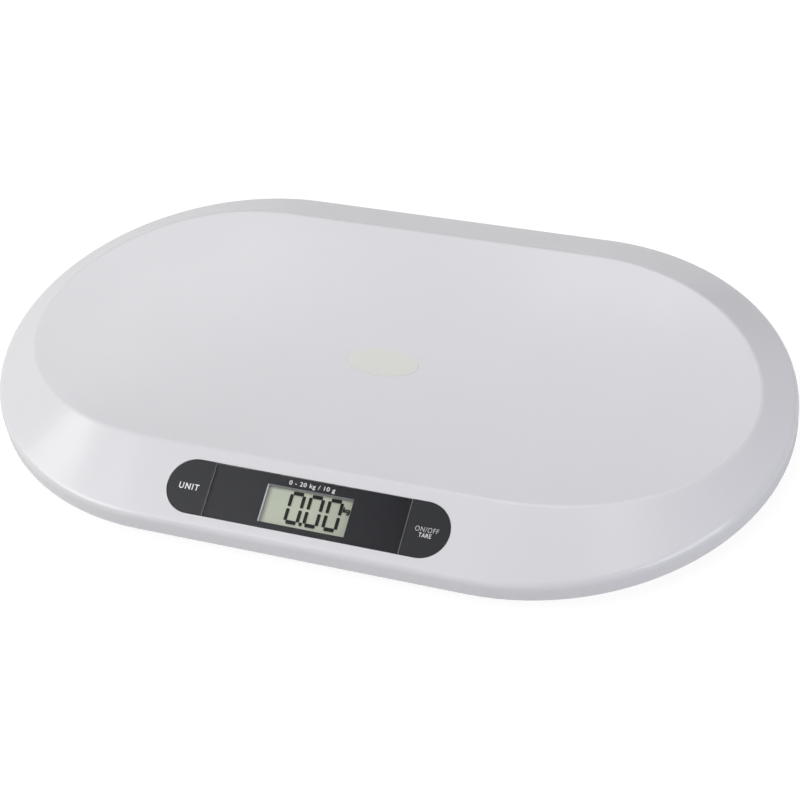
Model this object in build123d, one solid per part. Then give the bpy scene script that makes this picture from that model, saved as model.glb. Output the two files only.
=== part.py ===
from build123d import *
import os
from itertools import product
from math import atan2, cos, sin

os.makedirs("parts", exist_ok=True)

# Digital baby weighing scale: a wide oblong platform, dished like a shallow trough, on four
# load-cell feet, with a display and two keys let into its front bevel.
# Millimetres, +Z up. The origin is on the floor under the middle of the outline. X runs along
# the scale, and the display is on the front, towards -Y.

# ---------------------------------------------------------------- overall form
scale_length = 550.0        # outline, end to end
scale_width = 328.0         # outline, front to back; the ends are half circles
skirt_edge_height = 10.0    # lower edge of the top cover above the floor
skirt_height = 12.1         # upright side, up to the corner where the bevel starts
rim_height = 34.0           # front and back edges of the platform above the skirt's edge
platform_length = 467.2     # outline that the bevel would reach at rim height
platform_width = 235.2
platform_shift = 2.0        # the platform lies this far behind the middle
dish_depth = 10.1           # how deep the platform is hollowed, front to back
skirt_wall = 2.6
platform_wall = 3.0         # upright thickness of the platform and bevel
skirt_round = 5.0           # radius between side and bevel
platform_round = 4.0        # radius between bevel and platform
badge_length = 50.0         # plain oval inlay in the platform
badge_width = 26.0
badge_x = 2.0
badge_y = -5.0
badge_thickness = 0.6
badge_proud = 0.1
badge_gap = 0.1             # round the inlay

# ---------------------------------------------------------------- display panel
panel_rise = 26.4           # corner to panel centre, up the bevel
panel_length = 190.0
panel_width = 36.1
panel_gap = 0.25            # round the lens and keys
key_length = 28.9           # end of the panel to the rib between key and lens
divider_width = 0.35        # that rib
divider_inset = 0.5         # top of that rib below the cover's face
flush_step = 0.1            # lens and keys lie this far below the cover's face
lens_thickness = 2.0
mask_thickness = 0.2        # printed film behind the lens
window_length = 58.2
window_width = 25.1
window_x = 0.5
window_y = -1.8
window_lip = 0.9            # cover material between the mask and the display glass
pan_floor = 2.0             # cover material under the keys
pan_margin = 3.0            # cover material round the panel's recess
key_thickness = 2.2
key_travel = 0.6
key_floor_gap = 0.3         # left under a key that is pressed right in
key_edge_bevel = 0.4
post_diameter = 3.0         # guide posts and plunger of a key
post_gap = 0.3              # round a post, in its hole
post_inset = 7.0            # divider to the first pair of posts
post_spread = 11.0          # first pair, each side of the middle
post_reach = 22.0           # divider to the third post
plunger_inset = 13.5        # divider to the plunger
hook_diameter = 4.8         # snap head under the pan
hook_height = 1.2
hook_gap = 0.1
slit_width = 0.7            # lets a post's snap head close up
slit_end = 0.5              # post left whole under the key

# ---------------------------------------------------------------- display and circuit board
glass_length = 62.0         # liquid crystal cell
glass_width = 30.0
glass_thickness = 2.6
glass_gap = 0.2
strip_length = 56.0         # elastomer strips between glass and board
strip_width = 2.0
strip_height = 3.6
strip_inset = 1.8           # edge of the glass to the middle of a strip
strip_gap = 0.15
frame_wall = 1.6            # display frame
frame_web = 1.0
board_length = 176.0
board_width = 34.0
board_thickness = 1.6
board_corner = 2.0
board_screw_x = 50.0
board_screw_y = 12.0
board_boss_diameter = 5.0
small_screw_diameter = 2.0
small_head_diameter = 4.0
small_head_height = 1.4
screw_gap = 0.05            # round a screw's shank
screw_end_gap = 0.5         # hole beyond the end of a screw
board_screw_grip = 3.6      # shank in the boss
switch_size = 6.0           # key switch
switch_height = 3.5
switch_lid = 0.5
stem_diameter = 3.4
stem_collar_diameter = 4.4
stem_collar_height = 0.8
stem_gap = 0.2
plunger_gap = 0.05
chip_diameter = 15.0        # resin cap over the controller
chip_height = 2.0
chip_top_diameter = 9.0
chip_x = -20.0
socket_length = 8.0         # plugs of the load cells' and batteries' leads
socket_width = 4.5
socket_height = 3.5
socket_pitch = 12.0
socket_count = 5
socket_x = 26.0

# ---------------------------------------------------------------- base cover
base_gap = 0.5              # base to the inside of the skirt
base_drop = 2.5             # underside of the base below the skirt's edge
base_floor = 2.5
base_rim_wall = 2.0
base_rim_height = 7.0
base_bevel = 1.5            # edge of its underside
label_length = 90.0         # shallow recess for a rating label, left bare
label_width = 50.0
label_depth = 0.4
label_corner = 3.0
label_side = 139.0          # its middle to the outline's front
rib_wall = 1.6
rib_pitch = 60.0
base_rib_height = 3.5
platform_rib_height = 6.0
rib_keep_off = 3.0          # ribs end this far from wells, bay, panel and bevel
boss_diameter = 8.5
boss_joint_height = 6.0     # base floor to where the two covers' bosses meet
screw_diameter = 3.0
screw_head_diameter = 6.0
screw_head_height = 2.4
screw_head_gap = 0.3
screw_bridge = 2.5          # base material under a screw's head
screw_grip = 9.0            # shank in the top cover
corner_screw_end = 150.0    # screws' insets from the outline's ends and sides
corner_screw_side = 36.0
end_screw_end = 45.0
front_screw_side = 94.0
back_screw_side = 64.0
middle_screw_x = 60.0       # middle screws, each side of the middle

# ---------------------------------------------------------------- feet and load cells
foot_end = 105.0            # insets from the outline's ends and sides
foot_side = 72.0
pad_diameter = 38.0         # rubber pad
pad_height = 4.0
pad_bevel = 0.8
pad_seat = 1.0              # pad let into the cup
pad_gap = 0.1               # round it, there
pad_groove_width = 1.5
pad_groove_depth = 0.6
cup_diameter = 42.0
cup_gap = 0.5               # cup to its hole in the base
cup_flange_reach = 1.7      # flange beyond the cup
cup_flange_height = 1.5
flange_gap = 0.1            # flange above the base floor at rest
well_gap = 0.5              # flange to the wall of its well
well_wall = 4.8
foot_travel = 0.5
well_clear = 0.5            # left over the flange when the foot is pressed right in
stud_diameter = 9.0         # presses on the load cell's tongue
stud_gap = 0.05
tray_floor = 1.6            # load-cell tray
tray_rise = 1.0             # tray wall above the cell
tray_hole_diameter = 27.0
cell_size = 34.0            # half-bridge load cell
cell_thickness = 3.0
cell_gap = 0.3
cell_corner = 2.0
tongue_width = 12.0
tongue_slot = 2.0
tongue_length = 20.0
cell_seat_diameter = 32.6   # ring of the top cover that stands on the cell
cell_seat_wall = 2.6
cell_seat_gap = 0.05
tray_screw_height = 1.2

# ---------------------------------------------------------------- batteries and door
battery_diameter = 10.5     # size AAA
battery_length = 44.5
battery_nub_diameter = 3.8
battery_nub_height = 0.9
battery_gap = 0.4           # round a battery
bay_x = 0.0
bay_side = 116.0            # bay's middle to the outline's back
bay_wall = 1.8
spring_length = 5.0         # bowed contact spring, pressed by its battery
spring_span = 8.0
spring_width = 6.0
spring_thickness = 0.4
contact_thickness = 0.4
contact_size = 8.5
contact_touch = 0.05        # battery nub to its contact
door_ledge = 1.5
door_thickness = 2.0
door_gap = 0.3
door_corner = 1.0
hook_offset = 16.0          # bay's middle to a door hook
door_hook_width = 8.0
door_hook_radius = 3.5      # inside of a hook, about the edge that the door swings on
door_hook_thickness = 1.3
door_hook_start = 15.0      # degrees round that edge, from the door's plane
door_hook_end = 120.0
tongue_tab_width = 12.0     # latch tongue
tongue_tab_height = 1.6
tongue_tab_wall = 1.0
tongue_tab_inset = 0.5
finger_radius = 8.0
finger_depth = 1.0
grip_length = 14.0          # thumb grooves across the door
grip_width = 1.0
grip_depth = 0.6
grip_pitch = 2.4
grip_count = 3
grip_inset = 2.0            # finger notch to the nearest groove

# ---------------------------------------------------------------- worked-out levels
half_length = scale_length / 2
half_width = scale_width / 2
corner_z = skirt_edge_height + skirt_height
rim_z = skirt_edge_height + rim_height
bevel_rise = rim_z - corner_z
bevel_run = (scale_width - platform_width) / 2 + platform_shift
bevel_angle = atan2(bevel_rise, bevel_run)
bevel_overrun = 0.25        # share by which the bevel is built on before the dish trims it
dish_radius = ((platform_width / 2) ** 2 + dish_depth ** 2) / (2 * dish_depth)
dish_axis_z = rim_z - dish_depth + dish_radius

divider_offset = panel_length / 2 - key_length
lens_seat = flush_step + lens_thickness + mask_thickness
glass_face = lens_seat + window_lip
glass_back = glass_face + glass_thickness
key_seat = flush_step + key_thickness + key_travel + key_floor_gap
pan_depth = key_seat + pan_floor
board_face = glass_back + strip_height
board_back = board_face + board_thickness
switch_top = board_face - switch_height
stem_top = switch_top - key_travel - key_floor_gap
key_x = divider_offset + plunger_inset
small_hole_diameter = small_screw_diameter + 2 * screw_gap
hole_diameter = screw_diameter + 2 * screw_gap
lens_length = 2 * divider_offset - divider_width - panel_gap

base_z = skirt_edge_height - base_drop
floor_z = base_z + base_floor
base_inset = skirt_wall + base_gap
boss_joint_z = floor_z + boss_joint_height
head_seat_z = boss_joint_z - screw_bridge

flange_z = floor_z + flange_gap
flange_diameter = cup_diameter + 2 * cup_flange_reach
well_diameter = flange_diameter + 2 * well_gap
tray_diameter = well_diameter + 2 * well_wall
tray_z = flange_z + cup_flange_height + foot_travel + well_clear
cell_z = tray_z + tray_floor
cell_top_z = cell_z + cell_thickness
tray_top_z = cell_top_z + tray_rise
tray_screw_offset = (well_diameter + well_wall) / 2

bay_y = half_width - bay_side
bay_length = battery_length + spring_length + 2 * contact_thickness + battery_gap
bay_width = 2 * battery_diameter + 3 * battery_gap
battery_z = base_z + door_thickness + battery_gap + battery_diameter / 2
bay_top_z = battery_z + battery_diameter / 2 + battery_gap
door_hole_length = bay_length + 2 * door_ledge
door_hole_width = bay_width + 2 * door_ledge
door_edge_y = bay_y - door_hole_width / 2

foot_x = half_length - foot_end
foot_y = half_width - foot_side
corner_screw_x = half_length - corner_screw_end
corner_screw_y = half_width - corner_screw_side
end_screw_x = half_length - end_screw_end
middle_screw_ys = (front_screw_side - half_width, half_width - back_screw_side)
screw_points = (
    list(product((-corner_screw_x, corner_screw_x), (-corner_screw_y, corner_screw_y)))
    + [(-end_screw_x, 0), (end_screw_x, 0)]
    + list(product((-middle_screw_x, middle_screw_x), middle_screw_ys))
)
foot_points = {
    "front_left": (-foot_x, -foot_y),
    "front_right": (foot_x, -foot_y),
    "back_left": (-foot_x, foot_y),
    "back_right": (foot_x, foot_y),
}

# The panel's own frame: X along the scale, Y up the bevel, Z straight out of it.
panel = Plane(
    origin=(0, panel_rise * cos(bevel_angle) - half_width, corner_z + panel_rise * sin(bevel_angle)),
    x_dir=(1, 0, 0),
    z_dir=(0, -sin(bevel_angle), cos(bevel_angle)),
).location


# ---------------------------------------------------------------- small helpers
def upright(outline, low, high):
    """Straight-sided solid over an outline, between two heights."""
    return Pos(0, 0, low) * extrude(outline, high - low)


def rod(diameter, low, high, x=0, y=0):
    """Upright round bar."""
    return Pos(x, y, (low + high) / 2) * Cylinder(diameter / 2, high - low)


def block(length, width, low, high, x=0, y=0):
    """Upright rectangular bar."""
    return Pos(x, y, (low + high) / 2) * Box(length, width, high - low)


def sunk(outline, face, back):
    """Solid in the panel's frame, between two depths below the bevel."""
    return panel * upright(outline, -back, -face)


def screw(shank, length, head, head_height):
    """Cheese-head screw, pointing up from its head's seat."""
    return rod(shank, 0, length) + rod(head, -head_height, 0)


# ---------------------------------------------------------------- covers
def bevel_outline(share):
    """Outline of the bevel, from 0 at the skirt to 1 at the platform's rim."""
    length = scale_length + (platform_length - scale_length) * share
    width = scale_width + (platform_width - scale_width) * share
    return Pos(0, platform_shift * share, corner_z + bevel_rise * share) * SlotOverall(length, width)


def dish_bar(deeper=0.0):
    """Round bar along the scale whose underside is the dished platform."""
    bar = Rot(0, -90, 0) * Cylinder(dish_radius + deeper, scale_length)
    return Pos(0, platform_shift, dish_axis_z) * bar


def cover_form(lowered=0.0):
    """Solid outside form of the top cover, optionally moved straight down."""
    skirt = extrude(bevel_outline(0), -skirt_height)
    bevel = loft([bevel_outline(0), bevel_outline(1 + bevel_overrun)], ruled=True)
    return Pos(0, 0, -lowered) * (skirt + bevel - dish_bar())


def rounded_cover_form():
    """Outside form with its two long edges rounded."""
    form = cover_form()
    corner = [edge for edge in form.edges() if abs(edge.center().Z - corner_z) < 0.01]
    form = fillet(corner, skirt_round)
    platform = max(form.faces().filter_by(GeomType.CYLINDER), key=lambda face: face.area)
    return fillet(platform.edges(), platform_round)


def rib_grid(low, high):
    """Crossed upright ribs, centred on the scale."""
    along = int(half_length / rib_pitch)
    across = int(half_width / rib_pitch)
    ribs = []
    for step in range(-along, along + 1):
        ribs.append(block(rib_wall, scale_width, low, high, x=step * rib_pitch))
    for step in range(-across, across + 1):
        ribs.append(block(scale_length, rib_wall, low, high, y=step * rib_pitch))
    return Part() + ribs


def panel_outline(grow=0.0):
    return SlotOverall(panel_length + 2 * grow, panel_width + 2 * grow)


def key_zone(from_x, side):
    """Rectangle over one end of the panel, outward from from_x."""
    reach = panel_length
    return Pos(side * (from_x + reach / 2), 0) * Rectangle(reach, panel_length)


def post_points(side):
    """Guide posts of one key."""
    near = side * (divider_offset + post_inset)
    far = side * (divider_offset + post_reach)
    return [(near, -post_spread), (near, post_spread), (far, 0)]


def top_cover():
    """White platform shell with skirt, bevel, panel recess, ribs, screw bosses and cell seats."""
    inside = upright(
        SlotOverall(scale_length - 2 * skirt_wall, scale_width - 2 * skirt_wall),
        skirt_edge_height - platform_wall,
        rim_z,
    )
    shell = rounded_cover_form() - (cover_form(platform_wall) & inside)

    # Everything under the platform grows from half-way through its wall.
    middle = cover_form(platform_wall / 2)
    bosses = [rod(boss_diameter, boss_joint_z, rim_z, x, y) for x, y in screw_points]
    seats = [
        rod(cell_seat_diameter, cell_top_z + cell_seat_gap, rim_z, x, y)
        - rod(cell_seat_diameter - 2 * cell_seat_wall, cell_top_z, rim_z, x, y)
        for x, y in foot_points.values()
    ]
    rib_outline = SlotOverall(platform_length - 2 * rib_keep_off, platform_width - 2 * rib_keep_off)
    rib_area = upright(Pos(0, platform_shift) * rib_outline, 0, rim_z)
    ribs = (rib_grid(floor_z, rim_z) & rib_area) - cover_form(platform_wall + platform_rib_height)
    ribs -= [rod(cell_seat_diameter - cell_seat_wall, 0, rim_z, x, y) for x, y in foot_points.values()]
    shell += middle & (Part() + bosses + seats + [ribs])

    # Pan that carries lens, keys, display and board.
    pan = upright(panel_outline(pan_margin), -pan_depth, -platform_wall / 2)
    posts = [rod(board_boss_diameter, -board_face, -pan_depth + screw_gap, x, y) for x, y in board_points()]
    shell += panel * (pan + posts)

    cuts = [upright(panel_outline(panel_gap), -lens_seat, panel_width)]
    for side in (-1, 1):
        zone = key_zone(divider_offset + divider_width / 2, side)
        cuts.append(upright(panel_outline(panel_gap) & zone, -key_seat, 0))
        cuts += [rod(post_diameter + 2 * post_gap, -board_face, 0, x, y) for x, y in post_points(side)]
        cuts.append(rod(post_diameter + 2 * post_gap, -board_face, 0, side * key_x))
    window = Pos(window_x, window_y)
    cuts.append(upright(window * Rectangle(window_length, window_width), -pan_depth, 0))
    pocket = Rectangle(glass_length + 2 * glass_gap, glass_width + 2 * glass_gap)
    cuts.append(upright(window * pocket, -board_face, -glass_face))
    hole_end = -board_face + board_screw_grip + screw_end_gap
    cuts += [rod(small_hole_diameter, -board_face, hole_end, x, y) for x, y in board_points()]
    shell -= panel * (Part() + cuts)
    for side in (-1, 1):
        strip = Pos(side * divider_offset) * Rectangle(divider_width, panel_length)
        strip &= panel_outline(panel_gap + divider_width)
        shell += sunk(strip, divider_inset, pan_depth)

    # Screw holes and the badge's recess.
    hole_top = boss_joint_z + screw_grip + screw_end_gap
    holes = [rod(hole_diameter, boss_joint_z, hole_top, x, y) for x, y in screw_points]
    return shell - holes - badge_slice(badge_gap, badge_thickness, rim_height)


def badge_slice(grow, below, above):
    """Oval slice that follows the dish, from below its surface to above it."""
    oval = upright(
        Pos(badge_x, badge_y) * Ellipse(badge_length / 2 + grow, badge_width / 2 + grow), floor_z, rim_z
    )
    return (oval & dish_bar(below)) - dish_bar(-above)


def base_cover():
    """Under-tray with rim, ribs, foot wells, screw bosses and battery bay."""
    outline = SlotOverall(scale_length - 2 * base_inset, scale_width - 2 * base_inset)
    inset = 2 * (base_inset + base_rim_wall)
    inner = SlotOverall(scale_length - inset, scale_width - inset)
    tray = upright(outline, base_z, floor_z + base_rim_height)
    tray -= upright(inner, floor_z, floor_z + base_rim_height)
    tray = chamfer(tray.edges().group_by(Axis.Z)[0], base_bevel)

    bay_outline = Pos(bay_x, bay_y) * Rectangle(bay_length + 2 * bay_wall, bay_width + 2 * bay_wall)
    ribs = rib_grid(floor_z - base_floor / 2, floor_z + base_rib_height)
    ribs &= upright(SlotOverall(scale_length - inset + 1, scale_width - inset + 1), base_z, rim_z)
    front_y = -half_width
    clear_y = board_back_y() + rib_keep_off
    clear_length = board_length + 2 * rib_keep_off
    ribs -= block(clear_length, clear_y - front_y, base_z, rim_z, y=(clear_y + front_y) / 2)
    ribs -= [rod(tray_diameter + rib_keep_off, base_z, rim_z, x, y) for x, y in foot_points.values()]
    ribs -= upright(bay_outline, base_z, rim_z)

    wells = [rod(tray_diameter, floor_z - base_floor / 2, tray_z, x, y) for x, y in foot_points.values()]
    bosses = [rod(boss_diameter, base_z, boss_joint_z, x, y) for x, y in screw_points]
    tray += [ribs, upright(bay_outline, base_z, bay_top_z + bay_wall)] + wells + bosses

    for x, y in foot_points.values():
        tray -= rod(cup_diameter + 2 * cup_gap, base_z, floor_z, x, y)
        tray -= rod(well_diameter, floor_z, tray_z, x, y)
        for turn in (-1, 1):
            tray -= tray_screw_hole(x + turn * tray_screw_offset, y)
    for x, y in screw_points:
        tray -= rod(screw_head_diameter + 2 * screw_head_gap, base_z, head_seat_z, x, y)
        tray -= rod(hole_diameter, head_seat_z, boss_joint_z, x, y)

    tray -= block(bay_length, bay_width, base_z, bay_top_z, bay_x, bay_y)
    tray -= block(door_hole_length, door_hole_width, base_z, base_z + door_thickness, bay_x, bay_y)
    sweep = door_hook_radius + door_hook_thickness + door_gap
    edge_bar = block(bay_length, 2 * sweep, base_z - sweep, floor_z, bay_x, door_edge_y - sweep)
    for side in (-1, 1):
        room = Rot(0, 90, 0) * Cylinder(sweep, door_hook_width + 2 * door_gap)
        tray -= Pos(bay_x + side * hook_offset, door_edge_y, base_z) * room - edge_bar
    label = Pos(0, label_side - half_width) * RectangleRounded(label_length, label_width, label_corner)
    return tray - finger_notch() - upright(label, base_z, base_z + label_depth)


def finger_notch():
    """Shallow round hollow over the back edge of the door's opening."""
    return Pos(bay_x, bay_y + door_hole_width / 2, base_z) * Cylinder(finger_radius, 2 * finger_depth)


def board_back_y():
    """Furthest back that the circuit board reaches, in Y."""
    up_bevel = (panel_rise + board_width / 2) * cos(bevel_angle)
    return up_bevel + board_back * sin(bevel_angle) - half_width


def tray_screw_hole(x, y):
    return rod(small_hole_diameter, floor_z - screw_end_gap, tray_z, x, y)


# ---------------------------------------------------------------- panel pieces
def display_lens():
    """Clear window plate between the two keys."""
    middle = Rectangle(lens_length, panel_length)
    return sunk(panel_outline() & middle, flush_step, flush_step + lens_thickness)


def lens_mask():
    """Dark printed film behind the lens, with a clear window."""
    middle = Rectangle(lens_length, panel_length)
    outline = (panel_outline() & middle) - Pos(window_x, window_y) * Rectangle(window_length, window_width)
    return sunk(outline, lens_seat - mask_thickness, lens_seat)


def key(side):
    """Key cap with its plunger and three snap posts."""
    outline = panel_outline() & key_zone(divider_offset + divider_width / 2 + panel_gap / 2, side)
    cap = upright(outline, -flush_step - key_thickness, -flush_step)
    cap = chamfer(cap.edges().group_by(Axis.Z)[-1], key_edge_bevel)
    under = -flush_step - key_thickness
    hook_z = -pan_depth - hook_gap
    for x, y in post_points(side):
        cap += rod(post_diameter, hook_z - hook_height, under + key_thickness / 2, x, y)
        cap += Pos(x, y, hook_z - hook_height / 2) * Cone(post_diameter / 2, hook_diameter / 2, hook_height)
        cap -= block(slit_width, hook_diameter, hook_z - hook_height, under - slit_end, x, y)
    cap += rod(post_diameter, -stem_top + plunger_gap, under + key_thickness / 2, side * key_x)
    return panel * cap


def switch_body(side):
    """Key switch on the board, hollow for its stem."""
    room_top = -switch_top - switch_lid
    room_floor = room_top - stem_collar_height - key_travel - key_floor_gap
    body = block(switch_size, switch_size, -board_face, -switch_top, side * key_x)
    body -= rod(stem_diameter + 2 * stem_gap, room_floor, -switch_top, side * key_x)
    body -= rod(stem_collar_diameter + 2 * stem_gap, room_floor, room_top, side * key_x)
    return panel * body


def switch_stem(side):
    """Plunger of a key switch, with the collar that keeps it in."""
    collar_z = -switch_top - switch_lid - hook_gap
    stem = rod(stem_diameter, collar_z, -stem_top, side * key_x)
    return panel * (stem + rod(stem_collar_diameter, collar_z - stem_collar_height, collar_z, side * key_x))


def lcd_glass():
    """Liquid crystal cell."""
    return sunk(Pos(window_x, window_y) * Rectangle(glass_length, glass_width), glass_face, glass_back)


def strip_places():
    """Middle of each elastomer strip, up the bevel."""
    offset = glass_width / 2 - strip_inset
    return [window_y - offset, window_y + offset]


def lcd_frame():
    """Frame that holds glass and strips against the pan."""
    length = glass_length + 2 * glass_gap + 2 * frame_wall
    width = glass_width + 2 * glass_gap + 2 * frame_wall
    frame = upright(Pos(window_x, window_y) * Rectangle(length, width), -board_face, -pan_depth)
    seat = Pos(window_x, window_y) * Rectangle(length - 2 * frame_wall, width - 2 * frame_wall)
    frame -= upright(seat, -glass_back, -pan_depth)
    slot = Rectangle(strip_length + 2 * strip_gap, strip_width + 2 * strip_gap)
    for y in strip_places():
        frame -= upright(Pos(window_x, y) * slot, -board_face, -glass_back)
    clear = glass_width - 2 * strip_inset - strip_width - 2 * strip_gap - 2 * frame_web
    frame -= upright(Pos(window_x, window_y) * Rectangle(strip_length, clear), -board_face, -glass_back)
    return panel * frame


def contact_strips():
    """Two elastomer strips that join the glass to the board."""
    strip = Rectangle(strip_length, strip_width)
    return [sunk(Pos(window_x, y) * strip, glass_back, board_face) for y in strip_places()]


def board_points():
    return list(product((-board_screw_x, board_screw_x), (-board_screw_y, board_screw_y)))


def main_board():
    """Circuit board behind the panel."""
    outline = RectangleRounded(board_length, board_width, board_corner)
    for x, y in board_points():
        outline -= Pos(x, y) * Circle(small_hole_diameter / 2)
    return sunk(outline, board_face, board_back)


def board_screws():
    length = board_thickness + board_screw_grip
    one = screw(small_screw_diameter, length, small_head_diameter, small_head_height)
    return [panel * Pos(x, y, -board_back) * one for x, y in board_points()]


def chip_cap():
    """Resin cap over the controller chip."""
    cap = Cone(chip_top_diameter / 2, chip_diameter / 2, chip_height)
    return panel * Pos(chip_x, 0, -board_back - chip_height / 2) * cap


def lead_sockets():
    """Row of plug sockets on the back of the board."""
    first = socket_x - socket_pitch * (socket_count - 1) / 2
    outline = Rectangle(socket_length, socket_width)
    return [
        sunk(Pos(first + turn * socket_pitch, 0) * outline, board_back, board_back + socket_height)
        for turn in range(socket_count)
    ]


# ---------------------------------------------------------------- feet
def foot_pad(x, y):
    """Rubber pad with one ring groove."""
    pad = rod(pad_diameter, 0, pad_height)
    pad = chamfer(pad.edges().group_by(Axis.Z)[0], pad_bevel)
    ring = rod(pad_diameter / 2 + pad_groove_width, 0, pad_groove_depth)
    ring -= rod(pad_diameter / 2 - pad_groove_width, 0, pad_groove_depth)
    return Pos(x, y) * (pad - ring)


def foot_cup(x, y):
    """Foot that slides in the base and presses on the load cell."""
    cup = rod(cup_diameter, pad_height - pad_seat, flange_z + cup_flange_height)
    cup += rod(flange_diameter, flange_z, flange_z + cup_flange_height)
    cup += rod(stud_diameter, flange_z, cell_z - stud_gap)
    return Pos(x, y) * (cup - rod(pad_diameter + 2 * pad_gap, 0, pad_height))


def load_cell(x, y):
    """Steel load cell: a square frame with a tongue that the foot bends."""
    outline = RectangleRounded(cell_size, cell_size, cell_corner)
    room = Rectangle(tongue_width + 2 * tongue_slot, tongue_length + tongue_slot)
    tongue = Pos(0, tongue_slot / 2) * Rectangle(tongue_width, tongue_length)
    return Pos(x, y) * upright(outline - (room - tongue), cell_z, cell_top_z)


def cell_tray(x, y):
    """Round tray that holds a load cell over its foot."""
    tray = rod(tray_diameter, tray_z, tray_top_z)
    pocket = cell_size + 2 * cell_gap
    tray -= block(pocket, pocket, cell_z, tray_top_z)
    tray -= rod(tray_hole_diameter, tray_z, cell_z)
    for side in (-1, 1):
        tray -= rod(small_hole_diameter, tray_z, tray_top_z, side * tray_screw_offset)
    return Pos(x, y) * tray


def tray_screws():
    one = screw(small_screw_diameter, tray_top_z - floor_z, small_head_diameter, tray_screw_height)
    return [
        Pos(x + side * tray_screw_offset, y, tray_top_z) * Rot(180, 0, 0) * one
        for (x, y), side in product(foot_points.values(), (-1, 1))
    ]


def housing_screws():
    """Self-tapping screws that join the covers."""
    one = screw(screw_diameter, screw_bridge + screw_grip, screw_head_diameter, screw_head_height)
    return [Pos(x, y, head_seat_z) * one for x, y in screw_points]


# ---------------------------------------------------------------- batteries
def battery_place(row):
    """Middle of battery 0 or 1, front to back; they lie opposite ways round."""
    return bay_y + (row - 0.5) * (battery_diameter + battery_gap)


def battery(row):
    """Round cell lying along the scale, its nub at the end away from the spring."""
    nub_end = bay_length / 2 - contact_thickness - contact_touch
    nub_seat = nub_end - battery_nub_height
    can = rod(battery_diameter, nub_end - battery_length, nub_seat)
    can += rod(battery_nub_diameter, nub_seat - battery_nub_height, nub_end)
    return Pos(bay_x, battery_place(row), battery_z) * Rot(0, 0, 180 * row) * Rot(0, 90, 0) * can


def contact_place(row, end):
    """Flat contact on the bay's end wall."""
    x = bay_x + end * (bay_length - contact_thickness) / 2
    return Pos(x, battery_place(row), battery_z) * Box(contact_thickness, contact_size, contact_size)


def battery_contacts():
    return [contact_place(row, end) for row, end in product((0, 1), (-1, 1))]


def battery_spring(row):
    """Bowed leaf at a battery's flat end."""
    end = -1 if row == 0 else 1
    half = spring_span / 2
    inner_half = half - spring_thickness
    inner_length = spring_length - spring_thickness
    outline = make_face([
        ThreePointArc((0, -half), (spring_length, 0), (0, half)),
        Line((0, half), (0, inner_half)),
        ThreePointArc((0, inner_half), (inner_length, 0), (0, -inner_half)),
        Line((0, -inner_half), (0, -half)),
    ])
    leaf = extrude(outline, spring_width / 2, both=True)
    x = bay_x + end * (bay_length / 2 - contact_thickness)
    return Pos(x, battery_place(row), battery_z) * Rot(0, 0, 90 + 90 * end) * leaf


def door_hook(side):
    """Curved hook that turns about the lower front edge of the door's opening."""
    outer = door_hook_radius + door_hook_thickness
    turn = door_hook_end - door_hook_start
    outer_arc = CenterArc((0, 0), outer, door_hook_start, turn)
    inner_arc = CenterArc((0, 0), door_hook_radius, door_hook_start, turn)
    ends = [Line(outer_arc @ at, inner_arc @ at) for at in (0, 1)]
    outline = make_face([outer_arc, inner_arc] + ends)
    hinge_end = (bay_x + side * hook_offset, door_edge_y, base_z)
    place = Plane(origin=hinge_end, x_dir=(0, 1, 0), z_dir=(1, 0, 0))
    return extrude(place * outline, door_hook_width / 2, both=True)


def battery_door():
    """Door with two curved hooks at its front edge and a latch tongue at its back edge."""
    door = upright(
        Pos(bay_x, bay_y)
        * RectangleRounded(door_hole_length - 2 * door_gap, door_hole_width - 2 * door_gap, door_corner),
        base_z,
        base_z + door_thickness,
    )
    door += [door_hook(side) for side in (-1, 1)]
    tab_y = bay_y + bay_width / 2 - tongue_tab_inset - tongue_tab_wall / 2
    tab_top = base_z + door_thickness + tongue_tab_height
    door += block(tongue_tab_width, tongue_tab_wall, base_z + door_thickness / 2, tab_top, bay_x, tab_y)
    first_y = bay_y + door_hole_width / 2 - finger_radius - grip_inset
    for turn in range(grip_count):
        groove_y = first_y - turn * grip_pitch
        door -= block(grip_length, grip_width, base_z, base_z + grip_depth, bay_x, groove_y)
    return door - finger_notch()


# ---------------------------------------------------------------- nodes
nodes = {
    "top_cover": top_cover(),
    "base_cover": base_cover(),
    "badge": badge_slice(0, badge_thickness, badge_proud),
    "display_lens": display_lens(),
    "lens_mask": lens_mask(),
    "lcd_glass": lcd_glass(),
    "lcd_frame": lcd_frame(),
    "contact_strips": contact_strips(),
    "main_board": main_board(),
    "chip_cap": chip_cap(),
    "lead_sockets": lead_sockets(),
    "board_screws": board_screws(),
    "housing_screws": housing_screws(),
    "tray_screws": tray_screws(),
    "unit_key": key(-1),
    "power_key": key(1),
    "unit_switch": switch_body(-1),
    "power_switch": switch_body(1),
    "unit_switch_stem": switch_stem(-1),
    "power_switch_stem": switch_stem(1),
    "battery_door": battery_door(),
    "battery_front": battery(0),
    "battery_back": battery(1),
    "battery_contacts": battery_contacts(),
    "battery_springs": [battery_spring(0), battery_spring(1)],
}
for corner, (x, y) in foot_points.items():
    nodes["foot_pad_" + corner] = foot_pad(x, y)
    nodes["foot_cup_" + corner] = foot_cup(x, y)
    nodes["load_cell_" + corner] = load_cell(x, y)
    nodes["cell_tray_" + corner] = cell_tray(x, y)

for name, shape in nodes.items():
    pieces = shape if isinstance(shape, list) else [shape]
    solids = [solid for piece in pieces for solid in piece.solids()]
    node = solids[0] if len(solids) == 1 else Compound(children=solids)
    export_step(node, "parts/" + name + ".step")
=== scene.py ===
"""Digital baby weighing scale: finishes, display, legends and studio round the CAD frame."""
from math import cos, hypot, pi, radians, sin

import bmesh
import bpy
from mathutils import Matrix, Vector


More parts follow.
